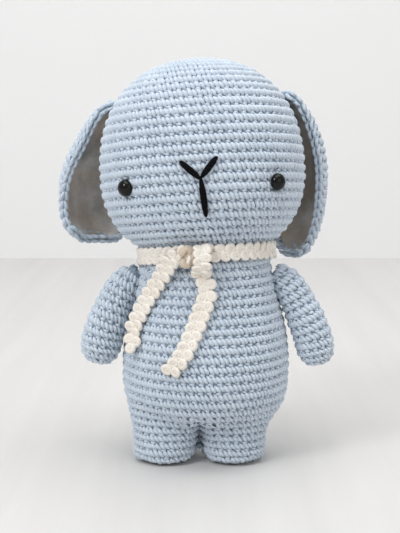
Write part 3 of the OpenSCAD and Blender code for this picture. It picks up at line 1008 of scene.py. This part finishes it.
# %% Arms, stuffed and crocheted
ARM_ROWS = np.array([(40.0, -2, 110.2, 3.2), (42.0, -2.5, 108.6, 5.9), (45.2, -3.5, 105.6, 8.4),
                     (49.4, -4.4, 100.2, 10.2), (54.4, -5, 91, 10.9), (58.4, -6, 81, 11.9),
                     (61.6, -6, 72, 12.5), (63.2, -6, 64, 12.6)], float)
ARM_HINGE = Vector((41.5, -2, 109.5))
ARM_LIFT = {-1: 0.0, 1: math.radians(2.5)}
ARM_LENGTH = {-1: 0.94, 1: 1.0}
SIDE_NAME = {-1: "left", 1: "right"}
ARM_INSET = {-1: 1.5, 1: 2.3}
ARM_SNUG = {-1: -2.6, 1: -1.4}


def arm_frame(side):
    """Where an arm's own points lie: the two differ a little, as hand-made ones do."""
    snug = ARM_HINGE + Vector((ARM_SNUG[side], 0, 0))
    return (Matrix.Translation(TOY) @ Matrix.Diagonal((side, 1, 1, 1)) @ Matrix.Translation(snug)
            @ Matrix.Rotation(-ARM_LIFT[side], 4, "Y") @ Matrix.Diagonal((1, 1, ARM_LENGTH[side], 1))
            @ Matrix.Translation(-ARM_HINGE))


def arm_line(side):
    """Centres and radii of an arm, shoulder first."""
    line = smooth_path(ARM_ROWS, 36)
    return moved(arm_frame(side), line[:, :3]), line[:, 3]


def arm_part(side):
    centres, radii = arm_line(side)
    radii = np.maximum(radii - ARM_INSET[side] * np.linspace(0, 1, len(radii)) ** 0.5, 0.8)
    tip = centres[-1] - centres[-2]
    hand = [centres[-1] + unit(tip) * radii[-1] * math.sin(a) for a in np.radians((20, 40, 60, 75, 85))]
    centres = np.vstack([centres, hand])
    radii = np.concatenate([radii, radii[-1] * np.cos(np.radians((20, 40, 60, 75, 85)))])
    return tube(centres, radii, 24, (0, 1, 0))


def arm_height(side):
    centres, radii = arm_line(side)
    s = lengths(centres)

    def height(points):
        gap = np.linalg.norm(points[:, None] - centres[None], axis=2)
        near = np.argmin(gap, axis=1)
        tip = unit(centres[-1] - centres[-2])
        beyond = (points - centres[-1]) @ tip
        aside = np.linalg.norm(points - centres[-1] - beyond[:, None] * tip, axis=1)
        before = np.array(headings(centres))[near]
        along = s[near] + ((points - centres[near]) * before).sum(1)
        hand = s[-1] + radii[-1] * np.arctan2(np.maximum(beyond, 0), np.maximum(aside, 1e-6))
        return -np.where(beyond > 0, hand, along)
    return height, -(s[-1] + radii[-1] * math.pi / 2)


for side in (-1, 1):
    verts, faces, _ = arm_part(side)
    form = stuffed("arm_form", (verts, faces, []), 2.6, 0.6)
    height, lowest = arm_height(side)
    levels = np.arange(lowest + 2.6, -3.0, 5.0)
    spots = rounds(form, height, levels, 4.95, 4.8)
    name = SIDE_NAME[side]
    arm = crocheted(f"arm_{name}_crochet", form, spots, body_stitch, 43 + side)
    fitted(arm, "arm_" + name, f"arm_{name}_cover")

# %% [markdown]
# ## The ears
# An ear is a long cupped panel crocheted in rows, faced with felt and edged all round with a chain of
# slip stitches, whose two strands make a plait with a row of holes down its middle. The panel and the
# lining are sheets: thin, of one thickness, and curved in one direction like a leaf.

# %% The ear's surface
EAR_ROWS = np.array([(89, 54, -3, 47, 27, 2), (84, 60, -1, 50, 32, 4), (73, 65.5, 3, 50, 40, 9),
                     (59, 68.5, 6, 48, 47, 13), (45, 69.5, 8, 45, 50, 15), (30, 68.5, 9, 43, 49, 15),
                     (18, 66.5, 10, 42, 45, 14), (7, 63, 11, 43, 38, 11), (0, 59.5, 12, 46, 30, 7),
                     (-2.5, 55.5, 14, 50, 23, 2.5)], float)
EAR_HINGE = Vector((49.4, 11.7, 89))
EAR_LIFT = {-1: math.radians(20), 1: 0.0}
EAR_LENGTH = {-1: 0.9, 1: 1.0}
EAR_LINE = smooth_path(EAR_ROWS, 121)
FABRIC = 3.6
TIP_Z, TIP_SPAN, TIP_RISE_BACK, TIP_RISE_FRONT, TIP_WIDER = 12, 14.5, 4.0, 5.0, 23.0


def ear_frame(side):
    mirror = Matrix.Diagonal((side, 1, 1, 1))
    swing = Matrix.Rotation(EAR_LIFT[side], 4, Vector((7, -30, 0)))
    shorter = Matrix.Diagonal((1, 1, EAR_LENGTH[side], 1))
    return (HEAD_FRAME @ mirror @ Matrix.Translation(EAR_HINGE) @ swing @ shorter
            @ Matrix.Translation(-EAR_HINGE))


def ear_surface(side, t, v, depth):
    """Points of an ear: t from the seam 0 to the tip 1, v from the front edge -1 to the back 1."""
    t, v = np.broadcast_arrays(np.asarray(t, float), np.asarray(v, float))
    at = np.clip(t, 0, 1) * (len(EAR_LINE) - 1)
    rows = np.stack([np.interp(at, np.arange(len(EAR_LINE)), EAR_LINE[:, k]) for k in range(6)], -1)
    front, back, bulge = rows[..., 1:3], rows[..., 3:5], np.maximum(rows[..., 5:6], 0.8)
    z = rows[..., :1]
    longer = (TIP_WIDER * np.clip((36 - z) / 38, 0, 1) ** 1.3 * np.clip((z + 6.5) / 10, 0, 1) ** 0.5
              * (side < 0))
    back = back + longer * np.array((-0.76, 0.65))
    chord = np.linalg.norm(back - front, axis=-1, keepdims=True)
    along = (back - front) / chord
    away = np.stack([along[..., 1], -along[..., 0]], -1)
    r = (chord ** 2 / 4 + bulge ** 2) / (2 * bulge)
    spread = np.arcsin(np.minimum(1, chord / (2 * r)))
    centre = (front + back) / 2 - away * (r - bulge)
    turn = spread * v[..., None]
    flat = centre + np.maximum(r - depth, 0.5) * (away * np.cos(turn) + along * np.sin(turn))
    flat[..., :1] += np.where(side < 0, -2.0 - 3.4 * np.exp(-((z - 62) / 21) ** 2),
                              1.0 * np.clip((80 - z) / 30, 0, 1))
    tip = np.clip((TIP_Z - z) / TIP_SPAN, 0, 1) * (side < 0)
    edge = v[..., None]
    rise = TIP_RISE_BACK * np.clip(edge * 0.5 + 0.5, 0, 1) + TIP_RISE_FRONT * np.clip(-edge, 0, 1) ** 2
    local = np.concatenate([flat, z + tip * rise], -1)
    return moved(ear_frame(side), local.reshape(-1, 3)).reshape(local.shape)


def ear_sheet(name, side, t_range, reach, outer, inner, material):
    """A closed thin sheet between two depths of the ear, with its rows and columns, and its area."""
    rows, cols = 44, 20
    t = np.linspace(*t_range, rows)[:, None]
    v = np.linspace(-reach, reach, cols)[None]
    faces_out = ear_surface(side, t, v, outer)
    faces_in = ear_surface(side, t, v, inner)
    verts = np.vstack([faces_out.reshape(-1, 3), faces_in.reshape(-1, 3)])
    n = rows * cols
    quads = []
    for i in range(rows - 1):
        for j in range(cols - 1):
            a, b, c, d = i * cols + j, i * cols + j + 1, (i + 1) * cols + j + 1, (i + 1) * cols + j
            quads += [(a, b, c, d), (n + d, n + c, n + b, n + a)]
    border = ([(0, j) for j in range(cols)] + [(i, cols - 1) for i in range(1, rows)]
              + [(rows - 1, j) for j in range(cols - 2, -1, -1)] + [(i, 0) for i in range(rows - 2, 0, -1)])
    ids = [i * cols + j for i, j in border]
    for a, b in zip(ids, ids[1:] + ids[:1]):
        quads.append((a, n + a, n + b, b))
    if side < 0:
        quads = [q[::-1] for q in quads]
    grid = (faces_out + faces_in) / 2
    area = (np.linalg.norm(np.cross(np.diff(grid, axis=0)[:, :-1], np.diff(grid, axis=1)[:-1]), axis=2)).sum()
    across = lengths(grid[rows // 2])[-1]
    down = lengths(grid[:, cols // 2])[-1]
    sheet = mesh_piece(name, (verts, quads, []), material=material)
    print(name, "flat", round(across, 1), "x", round(down, 1), "mm, area", round(area), "mm2")
    return sheet, across * MM, down * MM, area * MM * MM


def ear_rim(side, depth=1.8, count=400):
    """The ear's edge, all round, and the direction off the fabric at each point."""
    t = np.concatenate([np.linspace(0, 1, 120), np.ones(40), np.linspace(1, 0, 120), np.zeros(40)])
    v = np.concatenate([-np.ones(120), np.linspace(-1, 1, 40), np.ones(120), np.linspace(1, -1, 40)])
    edge = ear_surface(side, t, v, depth)
    within = ear_surface(side, 0.5 + (t - 0.5) * 0.94, v * 0.86, depth)
    outer = ear_surface(side, t, v, depth - 1)
    face = unit(outer - edge)
    line = np.hstack([edge, unit(edge - within), face])
    for _ in range(10):
        line = (np.roll(line, 1, 0) + np.roll(line, -1, 0) + 2 * line) / 4
    line = np.vstack([line, line[:1]])
    s = lengths(line[:, :3])
    at = np.linspace(0, s[-1], count, endpoint=False)
    return np.stack([np.interp(at, s, line[:, k]) for k in range(9)], axis=1), s[-1]


# %% The ears' panels, linings, chains and seams
EAR_ROW, CHAIN_STEP, CHAIN_WIDTH = 5.1, 5.3, 5.5
whip = stitch_unit("unit_whip_stitch", [strand([(-0.2, 0.5, -0.1), (0, 0, 0.25), (0.2, -0.5, -0.1)], 0.28)])
for side in (-1, 1):
    name = SIDE_NAME[side]
    # The panel sheet behind the ear's stitches is coloured in painted shade, darker than the yarn.
    panel, wide, tall, area = ear_sheet(f"ear_{name}_fabric", side, (0.0, 1.0), 1.0, 1.5, FABRIC, blue_painted_shade)
    lining, lin_wide, lin_tall, lin_area = ear_sheet(
        f"ear_{name}_felt", side, (0.035, 0.985), 0.975, FABRIC + 0.55, FABRIC + 1.7, ear_felt)
    middle = ear_surface(side, np.linspace(0, 1, 200), 0.0, 1.3)
    down = lengths(middle)
    found = {"place": [], "out": [], "right": [], "size": []}
    for row, s in enumerate(np.arange(EAR_ROW * 0.6, down[-1] - 1, EAR_ROW)):
        t = float(np.interp(s, down, np.linspace(0, 1, 200)))
        across = ear_surface(side, t, np.linspace(-1, 1, 60), 1.3)
        total = lengths(across)[-1]
        count = max(2, int(round((total - 3) / 5.0)))
        v = -1 + 2 * ((np.arange(count) + 0.5 + 0.25 * (row % 2 - 0.5)) / count * (total - 3) + 1.5) / total
        here = ear_surface(side, t, v, 1.1)
        out = unit(ear_surface(side, t, v, 0.1) - here)
        up = unit(ear_surface(side, max(t - 0.02, 0), v, 1.3) - ear_surface(side, min(t + 0.02, 1), v, 1.3))
        found["place"].append(here)
        found["out"].append(out)
        found["right"].append(unit(np.cross(up, out)))
        found["size"].append(np.tile([(total - 3) / count, EAR_ROW * 1.02, 3.4], (count, 1)))
    stitches = planted(f"ear_{name}_stitches", {k: np.vstack(v) for k, v in found.items()},
                       body_stitch, blue_yarn, 60 + side)
    rim, rim_length = ear_rim(side)
    count = int(round(rim_length / CHAIN_STEP))
    pick = (np.arange(count) * len(rim) / count).astype(int)
    path = rim[:, :3] + rim[:, 3:6] * 0.6
    along = unit(np.roll(path, -3, 0) - np.roll(path, 3, 0))
    out = unit(rim[:, 3:6] - rim[:, 6:9] * 0.15)
    right = unit(np.cross(along, out))
    chain = planted(f"ear_{name}_chain", {
        "place": path[pick] + out[pick] * 0.3, "out": out[pick], "right": right[pick],
        "size": np.tile([CHAIN_WIDTH, rim_length / count * 1.02, 4.6], (count, 1))},
        chain_stitch, edging_yarn, 70 + side, 0.05, 0.06)
    # The chain's core is coloured in painted shade, for the shade inside the plait.
    core = mesh_piece("core", tube(
        np.vstack([path[::4], path[:1], path[4:5]]) - np.vstack([out[::4], out[:1], out[4:5]]) * 0.8,
        1.5, 8, np.vstack([out[::4], out[:1], out[4:5]]), 0.9), material=blue_painted_shade)
    chain = joined(f"ear_{name}_chain", [chain, core])
    top = ear_surface(side, 0.0, np.linspace(-0.85, 0.85, 8), 1.8)
    inward = unit(moved(HEAD_FRAME, [[0, 0, 80]]) - top)
    # The ear's seam stitches take the darker painted shade colour of the seam yarn.
    sew = planted(f"ear_{name}_whipstitches", {
        "place": top + inward * 1.2 + (0, 0, 0.6), "out": np.tile([0, 0, 1.0], (8, 1)) - 0.4 * inward,
        "right": unit(np.gradient(top, axis=0)), "size": np.tile([3.2, 6.4, 3.4], (8, 1))},
        whip, sewing_yarn, 80 + side)
    for piece in (panel, lining, stitches, chain, sew):
        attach(piece, "ear_" + name)
    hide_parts(f"ear_{name}_panel")
    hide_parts(f"ear_{name}_panel")
    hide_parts(f"ear_{name}_lining")
    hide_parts(f"ear_{name}_edging")
    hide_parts(f"ear_{name}_seam")

# %% [markdown]
# ## The face
# The nose and mouth are three long stitches of black cotton, each laid several times over, so that
# they are thick in the middle and come to a point. Each eye is a glossy dome of its own, turned with
# the cheek it sits on, and it stands for the frame's eye.

# %% Embroidery and eyes
FACE_NODES = ["nose_stitch_left", "nose_stitch_right", "mouth_stitch"]
for node, (a, b), line in zip(FACE_NODES, FACE_LINES, face_points):
    strands = []
    path = spaced(line, 14)
    out = unit(path - moved(HEAD_FRAME, [[0, 0, HEAD_MID - 8]]))
    side_way = unit(np.cross(headings(path), out))
    t = np.linspace(-1, 1, 14)
    for lane in np.linspace(-1, 1, 6):
        spread = np.sqrt(np.maximum(1 - t ** 2, 0)) ** 1.1
        lift = 0.55 + 0.75 * (1 - t ** 4) * (1 - 0.35 * lane ** 2)
        p = path + side_way * (lane * 1.25 * spread)[:, None] + out * lift[:, None]
        p[0] -= out[0] * 1.4
        p[-1] -= out[-1] * 1.0
        strands.append(tube(p, 0.30 + 0.24 * spread, 7, out, v_scale=0.35))
    stitch = mesh_piece(node + "_threads", merged(strands), material=black_thread)
    fitted(stitch, "head", node)


def finished(node, material):
    """A CAD node keeps its shape and takes a finish."""
    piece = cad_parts[node]
    piece.data.materials.clear()
    piece.data.materials.append(material)


EYE_R, EYE_DOME, EYE_RINGS, EYE_SIDES = 4.75, 3.9, 12, 40
for side, sign in (("left", -1), ("right", 1)):
    seat = eye_places[0 if sign < 0 else 1]
    turn_by = Matrix.Rotation(math.radians(sign * EYE_TURN[sign]), 4, "Z")
    look = HEAD_LEAN.to_4x4() @ turn_by @ Matrix.Rotation(math.radians(90 + EYE_NOD), 4, "X")
    place = Matrix.Translation(seat) @ look
    dome = [(0.0, -1.2), (EYE_R * 0.9, -1.2), (EYE_R, -0.6)]
    dome += [(EYE_R * math.cos(a), EYE_DOME * math.sin(a))
             for a in np.linspace(0, math.pi / 2, EYE_RINGS)[:-1]]
    verts, faces, _ = revolved(dome + [(0.0, EYE_DOME)], place, EYE_SIDES)
    eye = mesh_piece(f"eye_{side}_dome", (verts, faces, []), material=eye_plastic)
    fitted(eye, "head", "eye_" + side)
    print("eye", side, "seat", np.round(seat, 1), "mm")
    finished(f"eye_{side}_washer", washer_plastic)
    finished(f"arm_{side}_stuffing", stuffing)
for node in ("head_stuffing", "body_stuffing"):
    finished(node, stuffing)

# %% [markdown]
# ## The scarf's loop and knot
# The same cord goes once round the neck, and the knot is the cord wrapped over itself once.

# %% The loop and the knot
turn = np.linspace(0, 2 * np.pi, 181)
LOOP_R, LOOP_WIDTH, LOOP_STEP = 39.4, 8.8, 6.1
ring = moved(HEAD_FRAME, np.stack([LOOP_R * np.sin(turn), -LOOP_R * np.cos(turn), np.full(181, 0.3)], 1))
ring_out = turned(HEAD_FRAME, np.stack([np.sin(turn), -np.cos(turn), np.zeros(181)], 1))
loop = petal_cord("scarf_loop_cord", ring, ring_out, 50, LOOP_WIDTH, LOOP_STEP, closed=True)
KNOT = np.array([-5.6, -45, 122]) + TOY
wrap = smooth_path(KNOT + np.array([(3.2, 3.4, 6.4), (3.6, -1.8, 5.2), (3.8, -4.2, 1.4), (3.6, -4.4, -3.2),
                                    (2.8, -1.8, -7.2), (2.4, 2.0, -8.6)]), 40)
wrap_out = unit(wrap - (KNOT + np.array([3.4, 6.0, 0.0])))
wrap_cord = petal_cord("scarf_knot_wrap", wrap, wrap_out, 55, 9.2, 5.2)
around = np.linspace(0, 2 * np.pi, 16, endpoint=False)
# The knot's fold and core take the darker cream as painted shade under the wrap.
fold = KNOT + (-5.2, 0.0, 0.6) + np.stack([2.6 * np.cos(around), 0.9 * np.cos(around) - 0.6,
                                           4.4 * np.sin(around)], axis=1)
inner_fold = mesh_piece("scarf_knot_fold", ring_tube(fold, 2.1, 8, 1.0), material=cream_shade)
ball = [(0.0, -1.0)] + [(math.cos(a), math.sin(a)) for a in np.linspace(-1.4, 1.4, 9)] + [(0.0, 1.0)]
ball_frame = Matrix.Translation(KNOT + (-1.6, 1.6, 0.2)) @ Matrix.Diagonal((7.0, 3.6, 5.4, 1))
knot_core = mesh_piece("scarf_knot_core", revolved(ball, ball_frame, 16), material=cream_shade)
knot = joined("scarf_knot_cord", [wrap_cord, inner_fold, knot_core])
for piece, node in ((loop, "scarf_loop"), (knot, "scarf_knot")):
    fitted(piece, "torso", node)

# %% [markdown]
# ## Seams
# The neck and the arms are sewn on with short slanting stitches of the same yarn, coloured darker as painted
# shade in the seams.

# %% Neck and arm seams
turn = np.linspace(0, 2 * np.pi, 56, endpoint=False)
radial = np.stack([np.sin(turn), -np.cos(turn), np.zeros(56)], 1)
neck_seam = planted("neck_whipstitches", {
    "place": moved(HEAD_FRAME, radial * 35.6 + (0, 0, 2.2)), "out": turned(HEAD_FRAME, radial),
    "right": turned(HEAD_FRAME, np.stack([np.cos(turn), np.sin(turn), np.zeros(56)], 1)),
    "size": np.tile([3.6, 5.0, 3.0], (56, 1))}, whip, sewing_yarn, 90)
fitted(neck_seam, "torso", "neck_seam")
for side in (-1, 1):
    name = SIDE_NAME[side]
    centre, angle = np.array([42.6, -2.2, 108.8]), np.radians(np.linspace(-70, 70, 7))
    lean = math.radians(35)
    out = np.stack([np.cos(angle) * math.cos(lean), np.sin(angle), np.cos(angle) * math.sin(lean)], 1)
    place = centre + out * 4.3
    across = unit(np.gradient(place, axis=0))
    place = moved(arm_frame(side), place)
    for arrows in (out, across):
        arrows[:, 0] *= side
    seam = planted(f"arm_{name}_whipstitches", {
        "place": place, "out": out, "right": across * side,
        "size": np.tile([2.2, 4.6, 2.2], (7, 1))}, whip, sewing_yarn, 92 + side)
    fitted(seam, "arm_" + name, f"arm_{name}_seam")
for unit_piece in (body_stitch, head_stitch, chain_stitch, petal_left, petal_right, whip):
    bpy.data.objects.remove(unit_piece)

# %% [markdown]
# ## Floor, backdrop and light
# The toy stands on a pale floor in front of a white wall, in broad window light from above and the left,
# with the room's own light filling the shadows.

# %% The stage
def stage_finish(name, shade, light, scale, stretch):
    f = Finish(name)
    grain = f.noise(scale, 3.0, 0.55, stretch)
    return f.surface(Base_Color=f.mixed(grain, shade, light), Roughness=0.55, Specular_IOR_Level=0.3)


floor_paint = stage_finish("floor", (0.60, 0.59, 0.575), (0.70, 0.69, 0.68), 40, (1, 0.04, 1))
wall_paint = stage_finish("wall", (0.815, 0.815, 0.815), (0.835, 0.835, 0.835), 3, (1, 1, 1))
WALL_Y = 0.98
floor = mesh_piece("floor", ([(-6, -4, 0), (6, -4, 0), (6, WALL_Y, 0), (-6, WALL_Y, 0)], [(0, 1, 2, 3)], []),
                   1.0, floor_paint)
wall = mesh_piece("wall", ([(-6, WALL_Y, 0), (6, WALL_Y, 0), (6, WALL_Y, 4), (-6, WALL_Y, 4)],
                           [(0, 1, 2, 3)], []), 1.0, wall_paint)


def area_light(name, place, size, watts, colour=(1, 1, 1)):
    lamp = bpy.data.lights.new(name, "AREA")
    lamp.shape, lamp.size, lamp.size_y = "RECTANGLE", size[0], size[1]
    lamp.energy, lamp.color = watts, colour
    light = bpy.data.objects.new(name, lamp)
    bpy.context.scene.collection.objects.link(light)
    light.location = place
    light.rotation_euler = (Vector((0, 0, 0.12)) - Vector(place)).to_track_quat("-Z", "Y").to_euler()
    return light


area_light("window", (-0.95, -1.1, 1.2), (0.55, 0.65), 12.5)
area_light("ceiling", (0.1, -0.1, 1.7), (1.8, 1.4), 19.5)
area_light("room", (1.3, -1.4, 0.8), (1.4, 1.4), 5, (1.0, 0.97, 0.94))
world = bpy.data.worlds.new("room_light")
world.use_nodes = True
world.node_tree.nodes["Background"].inputs["Color"].default_value = (0.98, 0.99, 1.0, 1)
world.node_tree.nodes["Background"].inputs["Strength"].default_value = 0.49
bpy.context.scene.world = world
